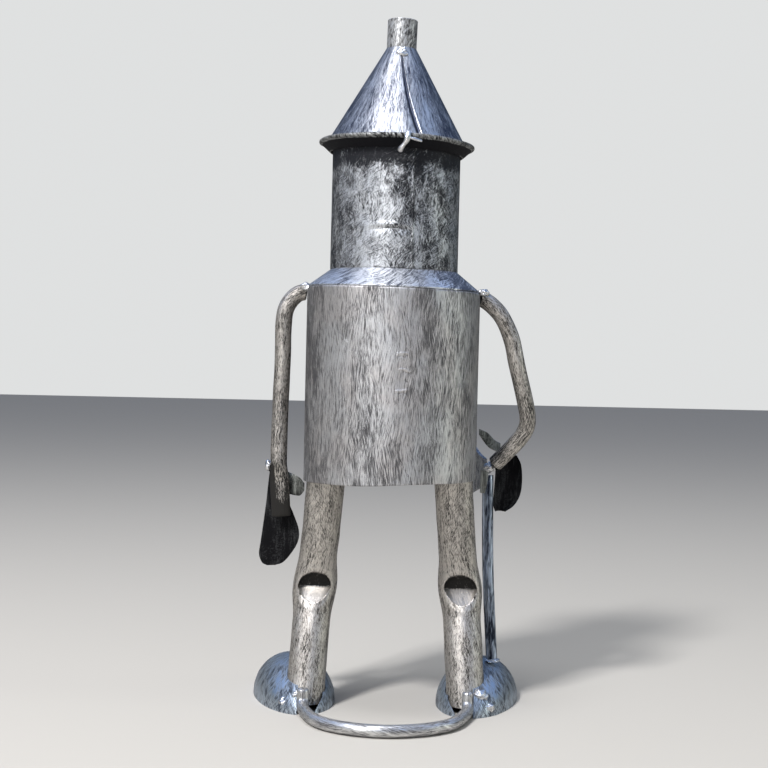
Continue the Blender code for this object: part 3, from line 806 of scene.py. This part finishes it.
def arm_point(press_below, seed, dark_below):
    """Returns the surface rule of an arm tube; a pressed one gets near-black painted shadow down its
    outer side.
    """

    def rule(station, turn, cut):
        centre, along, side, back, distance = station
        press = 0.0
        if press_below and centre.z < press_below:
            press = min(1.0, (press_below - centre.z) / 13.0)
            press = press * press * (3 - 2 * press)
        wide = (ARM_RADIUS - cut) * (1.0 + 0.16 * press)
        deep = (ARM_RADIUS - cut) * (1.0 - 0.52 * press)
        spot = centre + side * (wide * math.cos(turn)) + back * (deep * math.sin(turn))
        spot += (spot - centre).normalized() * wobble(centre + back * turn, 0.09, 0.18, seed)
        slant = max(0.0, 1.0 - distance / 6.0)
        rise = (spot - centre).z
        spot -= along * (slant * rise * 0.45)
        # Painted shadow, near black, down the pressed part's outer side and all round the end below
        # 121 mm
        shadow_strip = 0.0
        if press_below:
            strip = min(1.0, max(0.0, (math.cos(turn) * side.x - 0.42) / 0.15))
            end = min(1.0, max(0.0, (121.0 - centre.z) / 7.0))
            shadow_strip = max(strip * min(1.0, max(0.0, (press_below - 2.0 - centre.z) / 2.0)), end)
        # Painted shade: the tube darkens towards the bottom
        shade = dark_below * min(1.0, max(0.0, (170.0 - centre.z) / 50.0))
        return spot, ARM_RADIUS, 0.16 + 0.25 * press + shade + 1.4 * shadow_strip

    return rule


for node, route, surface in (
    ("left_arm", LEFT_ARM_ROUTE, arm_point(142.0, 2.0, 0.3)),
    ("right_arm", RIGHT_ARM_ROUTE, arm_point(None, 5.0, 0.1)),
):
    hollow_tube(f"{node}_tube", frames(smooth_route(route)), surface, 0.9, node)

LEG_RADIUS = 11.0
KNEE_HEIGHT = 69.0
KNEE_ABOVE = 9.2
KNEE_BELOW = 9.0
LEG_ROUTE = (
    (36.2, 8, 156), (36.8, 6, 133), (39.6, -1, 98), (42.5, -7, 69), (44.5, 0, 40), (46.3, 8, 4),
)


def leg_point(mirror, seed):
    """Returns the surface rule of a leg, with the pushed-in pocket behind the knee and its painted
    shade and highlights.
    """

    def rule(station, turn, cut):
        centre = station[0]
        radius = LEG_RADIUS - cut
        gap = centre.z - KNEE_HEIGHT
        near = max(0.0, 1.0 - abs(gap) / 19.0)
        swell = near * near * (3 - 2 * near)
        across = radius * math.cos(turn) * (1.0 + 0.17 * swell)
        behind = radius * math.sin(turn)
        lateral = min(1.0, abs(across) / 9.6)
        bowl = math.sqrt(1.0 - lateral * lateral)
        inside = min(1.0, bowl / 0.3)
        painted_light_and_bare_paint = 0.0
        if behind > 0:
            # Painted shade on the pocket's upper face, which faces down
            if gap > 0:
                level = gap / (KNEE_ABOVE * bowl + 0.01)
                depth = inside * max(0.0, 1.0 - level**6) if level < 1 else 0.0
                painted_light_and_bare_paint = 1.4 * depth
            else:
                # Painted shadow in the pocket's bottom and a painted highlight on its lower face,
                # which faces up
                level = -gap / (KNEE_BELOW * (1.0 - lateral**2.6) + 0.01)
                depth = inside * max(0.0, 1.0 - level) if level < 1 else 0.0
                painted_light_and_bare_paint = 1.2 * max(0.0, depth - 0.93) / 0.07 - 1.0 * min(1.0, depth * 5.0)
            rim = math.exp(-(((math.hypot(across / 9.6, gap / 11.0) - 1.12) / 0.16) ** 2))
            behind += 0.7 * rim * swell - 7.0 * depth * (0.35 + 0.65 * bowl)
            # Painted highlight on the pocket's rim
            painted_light_and_bare_paint -= 0.35 * rim * swell
        else:
            behind -= 1.2 * swell
        uneven = wobble((centre.x + across, centre.y + behind, centre.z), 0.08, 0.3, seed)
        spot = Vector((mirror * (centre.x + across), centre.y + behind, centre.z))
        spot += Vector((mirror * math.cos(turn), math.sin(turn), 0)) * uneven
        return spot, LEG_RADIUS, painted_light_and_bare_paint

    return rule


for side_name, mirror in (("left", 1), ("right", -1)):
    down = Vector((0, 0, -1))
    stations = [(place, down, *rest) for place, _, *rest in frames(smooth_route(LEG_ROUTE, 0.5))]
    surface = leg_point(mirror, 3.0 * mirror + 7)
    name = f"{side_name}_leg"
    hollow_tube(f"{name}_tube", stations, surface, SHEET, name, 160)

# ---------------------------------------------------------------- feet

FOOT = {
    "length": 52.7, "width": 23.7, "height": 24.0, "x": 54.8, "y": -25.5, "splay": math.radians(10),
}


def foot_cloud(mirror, shrink, rows, columns):
    """Points over the half egg, rim first, and its flow coordinates."""
    points = []
    flow = []
    for row in range(rows):
        level = math.sin(math.radians(89.0 * row / (rows - 1)))
        part = math.sqrt(1 - level * level)
        for column in range(columns):
            turn = TAU * column / columns
            along = (FOOT["length"] - shrink) * part * math.cos(turn)
            across = (FOOT["width"] - shrink) * part * math.sin(turn)
            x = FOOT["x"] + along * math.sin(FOOT["splay"]) + across * math.cos(FOOT["splay"])
            y = FOOT["y"] - along * math.cos(FOOT["splay"]) + across * math.sin(FOOT["splay"])
            z = (FOOT["height"] - shrink) * level
            uneven = wobble((x, y, z), 0.05, 0.5, mirror * 4.0) * level
            points.append((mirror * x, y, z + uneven))
            flow.append((20.0 * math.cos(turn), 20.0 * math.sin(turn), 45.0 * math.asin(level)))
    return points, flow


def prism(rings):
    """A temporary closed cutter from rings of millimetre points."""
    mesh = bpy.data.meshes.new("cutter")
    points = [p for ring in rings for p in ring]
    world = np.asarray(points, float) * 0.001 + ORIGIN
    mesh.from_pydata([tuple(p) for p in world], [], capped_faces(len(rings), len(rings[0])))
    work = bmesh.new()
    work.from_mesh(mesh)
    bmesh.ops.recalc_face_normals(work, faces=work.faces)
    work.to_mesh(mesh)
    work.free()
    item = bpy.data.objects.new("cutter", mesh)
    bpy.context.scene.collection.objects.link(item)
    return item


def cut_away(item, cutters):
    """Cuts the solids away from an object for good, and removes them."""
    for cutter in cutters:
        cut = item.modifiers.new("cut", "BOOLEAN")
        cut.operation = "DIFFERENCE"
        cut.solver = "EXACT"
        cut.object = cutter
    graph = bpy.context.evaluated_depsgraph_get()
    made = bpy.data.meshes.new_from_object(item.evaluated_get(graph))
    item.modifiers.clear()
    item.data = made
    for cutter in cutters:
        bpy.data.objects.remove(cutter, do_unlink=True)


def foot_piece(side_name, mirror):
    rows, columns = 44, 160
    outer, outer_flow = foot_cloud(mirror, 0.0, rows, columns)
    inner, inner_flow = foot_cloud(mirror, SHEET, rows, columns)
    order = [row * columns + column for row in range(rows - 1, -1, -1) for column in range(columns)]
    points = [inner[index] for index in order] + outer
    flow = [inner_flow[index] for index in order] + outer_flow
    name = f"{side_name}_foot"
    faces = capped_faces(2 * rows, columns)
    item = make_object(f"{name}_dome", points, faces, flow, FOOT_METAL, name)
    radius = 11.4
    circle = [(radius * math.cos(TAU * i / 48), radius * math.sin(TAU * i / 48)) for i in range(48)]
    hole = []
    for x, y, z in ((46.9, 10.0, -6.0), (46.1, 6.4, 9.0), (44.7, 0.6, 32.0)):
        hole.append([(mirror * (x + across), y + along, z) for across, along in circle])
    slot = []
    for z, inside in ((-6.0, 41.6), (0.0, 40.6), (8.0, 36.0), (22.0, 35.4)):
        corners = ((inside, 12.0), (50.0, 12.0), (50.0, 45.0), (inside, 45.0))
        slot.append([(mirror * x, y, z) for x, y in corners])
    cut_away(item, [prism(hole), prism(slot)])
    return item


foot_piece("left", 1)
foot_piece("right", -1)

# ---------------------------------------------------------------- bars

HALF_LOOP = (
    (46.8, 22.9, 13), (46.7, 23.8, 7.2), (45.8, 30, 4.1), (39.5, 50, 3.8), (31.5, 62, 3.8),
    (18, 71, 3.8),
)
LOOP_ROUTE = [*HALF_LOOP, (0, 75, 3.8), *[(-x, y, z) for x, y, z in HALF_LOOP[::-1]]]
bar("heel_bar", LOOP_ROUTE, 3.45, BAR_METAL, "heel_loop", 48, 0.1)
HANDLE_ROUTE = ((-58.5, -25.5, 134.0), (-59.6, -23.5, 80), (-62.8, -21, 24.6))
bar(
    "axe_handle_bar", HANDLE_ROUTE, 3.35, HANDLE_METAL, "axe_handle", 40, 0.1, False,
    6.0,
)

# ---------------------------------------------------------------- hands and blade


def spline_rows(rows, count):
    """Rows of numbers resampled evenly on a smooth curve."""
    knots = with_ends([np.array(row, float) for row in rows])
    spans = len(rows) - 1
    made = []
    for index in range(count):
        place = min(spans - 1e-6, spans * index / (count - 1))
        number = int(place)
        made.append(between(knots[number : number + 4], place - number))
    return made


def plate(name, node, rows, depth_at, material, across_is_x=True, columns=24, count=60):
    """A sheet between two smooth edges; depth_at gives its place front to back."""
    near = []
    far = []
    for index, (station, first, second) in enumerate(spline_rows(rows, count)):
        along = index / (count - 1)
        for column in range(columns):
            across = column / (columns - 1)
            value = first + (second - first) * across
            x, z = (value, station) if across_is_x else (station, value)
            depth = depth_at(across, along)
            edge = min(across, 1 - across, along, 1 - along)
            thin = 0.5 * SHEET * (0.55 + 0.45 * min(1.0, edge / 0.03))
            near.append((x, depth + thin, z))
            far.append((x, depth - thin, z))
    points = near + far
    faces = sheet_faces(count, columns)
    return make_object(name, points, faces, points, material, node, 50.0)


LEFT_HAND_ROWS = (
    (139.5, 69.6, 61), (128, 70.8, 60), (119, 71.6, 59.2), (110, 72.6, 55.5), (101, 73.7, 52.4),
    (94, 74.6, 53), (87, 75.4, 57), (82, 73.6, 61.5), (80.3, 70.6, 66),
)
plate(
    "left_hand_sheet", "left_hand", LEFT_HAND_ROWS,
    lambda across, along: -3.9 - 1.6 * along * across, HAND_METAL,
)
LEFT_THUMB_ROWS = ((60.0, 135.4, 122.6), (55, 133.4, 121.6), (51.8, 131.6, 121.8), (49.3, 129, 125))
plate(
    "left_thumb_sheet", "left_thumb", LEFT_THUMB_ROWS,
    lambda across, along: -3.6 + 6.0 * along**2, THUMB_METAL, False, 14, 24,
)
RIGHT_HAND_ROWS = (
    (146, -66.8, -75.8), (140, -63.6, -78.5), (130, -62.8, -79.2), (122, -62.4, -78),
    (116, -62.2, -74.6), (112.2, -63.4, -69.5),
)
plate(
    "right_hand_sheet", "right_hand", RIGHT_HAND_ROWS,
    lambda across, along: -32.4 + 5.0 * (2 * across - 1) ** 2, HAND_METAL,
)
RIGHT_THUMB_ROWS = (
    (-66.2, 152.8, 147), (-62.6, 154.8, 148.4), (-58.2, 159, 151), (-52.8, 161.5, 158),
)
plate(
    "right_thumb_sheet", "right_thumb", RIGHT_THUMB_ROWS,
    lambda across, along: -32.4 + 5.0 * along**2, THUMB_METAL, False, 14, 30,
)


def axe_plate():
    """The axe head: a plate thickest at the handle and ground thin at its edge."""
    angle = math.radians(-70.0)
    outward = Vector((math.cos(angle), math.sin(angle), 0))
    normal = Vector((-outward.y, outward.x, 0))
    base = Vector((-58.5, -25.5, 0))
    outline = ((4.0, 143.5, 126.5), (14, 146.5, 124.5), (26, 153, 120.5), (35, 159, 116.8))
    rows = spline_rows(outline, 40)
    near = []
    far = []
    columns = 36
    for index, (reach, high, low) in enumerate(rows):
        share = index / (len(rows) - 1)
        thick = 1.0 - 0.8 * max(0.0, share - 0.75) / 0.25
        for column in range(columns):
            across = column / (columns - 1)
            bow = 4.5 * share * (1 - (2 * across - 1) ** 2)
            spot = base + outward * (reach + bow) + Vector((0, 0, high + (low - high) * across))
            near.append(tuple(spot + normal * thick))
            far.append(tuple(spot - normal * thick))
    points = near + far
    faces = sheet_faces(len(rows), columns)
    make_object("axe_head_plate", points, faces, points, HAT_METAL, "axe_blade", 50.0)


axe_plate()


def axe_socket():
    """The strip of the axe head that wraps round the handle's outer side."""
    centre = Vector((-58.6, -25.3, 0))
    rows, columns = 24, 28
    faces = sheet_faces(rows, columns)
    points = []
    for reach in (4.6, 3.75):
        for row in range(rows):
            share = row / (rows - 1)
            for column in range(columns):
                across = column / (columns - 1)
                turn = math.radians(-62.0 + (152.0 - 30.0 * share * share) * across)
                height = 137.0 - 13.5 * share
                offset = Vector((reach * math.cos(turn), reach * math.sin(turn), height))
                points.append(tuple(centre + offset))
    make_object("axe_head_socket", points, faces, points, SOCKET_METAL)


axe_socket()

# ---------------------------------------------------------------- face and buttons


def front_frame(angle, height, radius):
    """A point on the front of a can with its outward and sideways directions."""
    outward = Vector((math.sin(angle), -math.cos(angle), 0))
    side = Vector((-outward.y, outward.x, 0))
    return outward * radius + Vector((0, 0, height)), outward, side


def front_turned(name, angle, height, radius, profile, material, node, closed, sides=64):
    """A small turned piece standing on the front of a can."""
    start, outward, side = front_frame(angle, height, radius)
    points = []
    for ring_radius, reach in profile:
        for index in range(sides):
            turn = TAU * index / sides
            spot = start + outward * reach + side * (ring_radius * math.cos(turn))
            spot.z += ring_radius * math.sin(turn)
            points.append(tuple(spot))
    rows = len(profile)
    faces = ring_faces(rows, sides, True) if closed else capped_faces(rows, sides)
    make_object(name, points, faces, points, material, node)


EYE = (
    (6.5, 0.2), (6.5, 1.9),
    *[(6.5 - 0.5 + 0.5 * math.cos(a), 2.1 + 0.5 * math.sin(a)) for a in (0.4, 0.9, 1.5)],
    (3.1, 2.6), (2.6, 2.2), (2.6, 0.2),
)
for side_name, sign in (("left", 1), ("right", -1)):
    angle = sign * math.radians(22)
    name = f"{side_name}_eye"
    front_turned(f"{name}_washer", angle, 303.0, HEAD_RADIUS, EYE, BAR_METAL, name, True)
front_turned(
    "nose_cone", 0.0, 289.0, HEAD_RADIUS,
    ((4.6, -0.2), (4.5, 0.4), (1.5, 14.0), (1.1, 14.7), (0.5, 15.0)), LIMB_METAL, "nose", False,
)
MOUTH_ROUTE = []
for number in range(-6, 7):
    part = number / 6
    spot, _, _ = front_frame(math.radians(24) * part, 273.0 - 5.0 * (1 - part * part), 38.5)
    MOUTH_ROUTE.append(tuple(spot))
bar("mouth_bar", MOUTH_ROUTE, 1.6, BAR_METAL, "mouth", 24, 0.05)
for label, level in (("top", 222.0), ("middle", 196.0), ("bottom", 170.0)):
    dome = [(5.0, -0.2), (5.0, 0.6)]
    dome += [(5.0 * math.cos(a), 0.6 + 2.0 * math.sin(a)) for a in (0.3, 0.6, 0.9, 1.2, 1.45)]
    node = f"chest_button_{label}"
    front_turned(f"{label}_button_dome", 0.0, level, TORSO_RADIUS, dome, BAR_METAL, node, False)

# ---------------------------------------------------------------- welds

for name, centre, radii, seed, node in (
    ("left_shoulder_bead", (50.6, 4.0, 242.6), (3.4, 3.0, 2.6), 1.0, "left_shoulder_weld"),
    ("right_shoulder_bead", (-51.8, 3.6, 241.4), (3.2, 2.8, 2.2), 2.0, "right_shoulder_weld"),
    ("left_wrist_bead", (70.6, 0.2, 138.8), (2.0, 2.6, 3.2), 3.0, "left_wrist_weld"),
    ("right_wrist_bead", (-59.3, -21.4, 139.0), (3.3, 3.3, 3.1), 4.0, "right_wrist_weld"),
    ("left_hip_bead", (44.2, 8.6, 158.4), (3.4, 4.4, 3.4), 5.0, "left_hip_weld"),
    ("right_hip_bead", (-44.2, 8.6, 158.4), (3.4, 4.4, 3.4), 6.0, "right_hip_weld"),
    ("left_ankle_bead", (55.6, 17.0, 4.9), (5.6, 4.6, 4.1), 7.0, "left_ankle_weld"),
    ("right_ankle_bead", (-54.0, 16.4, 11.4), (4.4, 4.4, 3.4), 8.0, "right_ankle_weld"),
    ("left_loop_bead", (50.2, 21.0, 10.6), (2.4, 2.0, 2.4), 9.0, "left_loop_weld"),
    ("right_loop_bead", (-56.0, 16.8, 4.6), (6.4, 4.8, 3.7), 10.0, "right_loop_weld"),
    ("axe_foot_bead", (-63.2, -20.6, 24.4), (4.2, 4.2, 1.5), 11.0, "axe_foot_weld"),
):
    blob(name, centre, radii, seed, node)
spot = tuple(lean_hat([(-0.6, 10.6, 377.4)])[0])
blob("hat_spout_bead", spot, (3.3, 2.0, 3.1), 12.0, "hat_spout_weld")
DRIP_ROUTE = (
    (-6.4, 44.0, 327.0), (-5.8, 45.0, 324.6), (-4.6, 44.6, 321.6), (-2.8, 43.6, 318.8),
    (-2.2, 42.8, 317.0),
)
bar("hat_rim_drip", DRIP_ROUTE, 1.5, WELD_METAL, "hat_rim_weld", 28, 0.9, True, 13.0)
STRAND_ROUTE = ((-4.6, 45.4, 324.4), (-8.6, 44.8, 323.6), (-13.6, 43.2, 322.4))
bar("hat_rim_strand", STRAND_ROUTE, 0.7, WELD_METAL, None, 16, 0.4, True, 14.0)

# ---------------------------------------------------------------- floor, light and camera


def add_floor():
    mesh = bpy.data.meshes.new("floor")
    half = 6.0
    corners = [(-half, -half, 0), (half, -half, 0), (half, half, 0), (-half, half, 0)]
    mesh.from_pydata(corners, [], [(0, 1, 2, 3)])
    item = bpy.data.objects.new("floor", mesh)
    bpy.context.scene.collection.objects.link(item)
    material = bpy.data.materials.new("floor_pale")
    material.use_nodes = True
    shader = material.node_tree.nodes["Principled BSDF"]
    shader.inputs["Base Color"].default_value = (0.50, 0.49, 0.475, 1)
    shader.inputs["Roughness"].default_value = 0.85
    mesh.materials.append(material)


def add_panel(name, direction, distance, size, power, colour):
    """A soft rectangular light aimed at the torso."""
    data = bpy.data.lights.new(name, "AREA")
    data.shape = "RECTANGLE"
    data.size, data.size_y = size
    data.energy = power
    data.color = colour
    item = bpy.data.objects.new(name, data)
    bpy.context.scene.collection.objects.link(item)
    azimuth, elevation = (math.radians(v) for v in direction)
    level = math.cos(elevation)
    away = Vector((math.sin(azimuth) * level, math.cos(azimuth) * level, math.sin(elevation)))
    target = Vector((ORIGIN[0], ORIGIN[1], 0.2))
    item.location = target + away * distance
    item.rotation_euler = (-away).to_track_quat("-Z", "Y").to_euler()


def add_world():
    """Pale to the camera, neutral for the floor, and a dark horizon under a blue sky in the metal."""
    world = bpy.data.worlds.new("world")
    bpy.context.scene.world = world
    world.use_nodes = True
    tree = world.node_tree
    background = tree.nodes["Background"]
    place = tree.nodes.new("ShaderNodeTexCoord")
    split = tree.nodes.new("ShaderNodeSeparateXYZ")
    link(tree, place.outputs["Generated"], split.inputs[0])
    colours = tree.nodes.new("ShaderNodeValToRGB")
    link(tree, math_node(tree, "MULTIPLY_ADD", split.outputs["Z"], 0.5, 0.5), colours.inputs["Fac"])
    stops = colours.color_ramp.elements
    stops[0].position = 0.0
    stops[0].color = (0.10, 0.09, 0.07, 1)
    stops[1].position = 1.0
    stops[1].color = (0.30, 0.48, 0.90, 1)
    for position, colour in (
        (0.47, (0.06, 0.06, 0.045, 1)),
        (0.53, (0.055, 0.065, 0.045, 1)),
        (0.62, (0.08, 0.11, 0.12, 1)),
        (0.70, (0.18, 0.32, 0.62, 1)),
    ):
        stop = stops.new(position)
        stop.color = colour
    seen = tree.nodes.new("ShaderNodeLightPath")
    sky = colours.outputs["Color"]
    plain = mix_colour(tree, seen.outputs["Is Glossy Ray"], (0.34, 0.34, 0.34), sky)
    plain = mix_colour(tree, seen.outputs["Is Camera Ray"], plain, (0.74, 0.75, 0.75))
    link(tree, plain, background.inputs["Color"])
    background.inputs["Strength"].default_value = 1.0


def add_camera():
    """A long lens behind the figure at torso height, turned a little down and rolled a little."""
    data = bpy.data.cameras.new("camera")
    data.sensor_width = 36.0
    data.lens = 71.5
    data.clip_start = 0.05
    item = bpy.data.objects.new("camera", data)
    bpy.context.scene.collection.objects.link(item)
    yaw = math.radians(0.29)
    pitch = math.radians(1.0)
    roll = math.radians(1.2)
    level = math.cos(pitch)
    forward = Vector((math.sin(yaw) * level, -math.cos(yaw) * level, -math.sin(pitch)))
    right = forward.cross(Vector((0, 0, 1))).normalized()
    up = right.cross(forward)
    turned_up = up * math.cos(roll) - right * math.sin(roll)
    turned_right = right * math.cos(roll) + up * math.sin(roll)
    basis = Matrix((turned_right, turned_up, -forward)).transposed().to_4x4()
    place = Vector((ORIGIN[0], ORIGIN[1] + 0.8845, ORIGIN[2] + 0.203))
    item.matrix_world = Matrix.Translation(place) @ basis
    bpy.context.scene.camera = item


add_floor()
add_world()
add_panel("key_sun", (32, 46), 2.2, (0.28, 0.28), 54, (1.0, 0.97, 0.93))
add_panel("left_panel", (26, 17), 2.0, (0.8, 1.2), 8.5, (1.0, 0.99, 0.97))
add_panel("top_panel", (34, 80), 1.9, (0.5, 0.7), 13, (0.97, 0.98, 1.0))
add_panel("right_panel", (-82, 9), 1.8, (0.45, 0.8), 4.6, (0.97, 1.0, 0.86))
add_camera()
bpy.context.scene.view_settings.view_transform = "Standard"
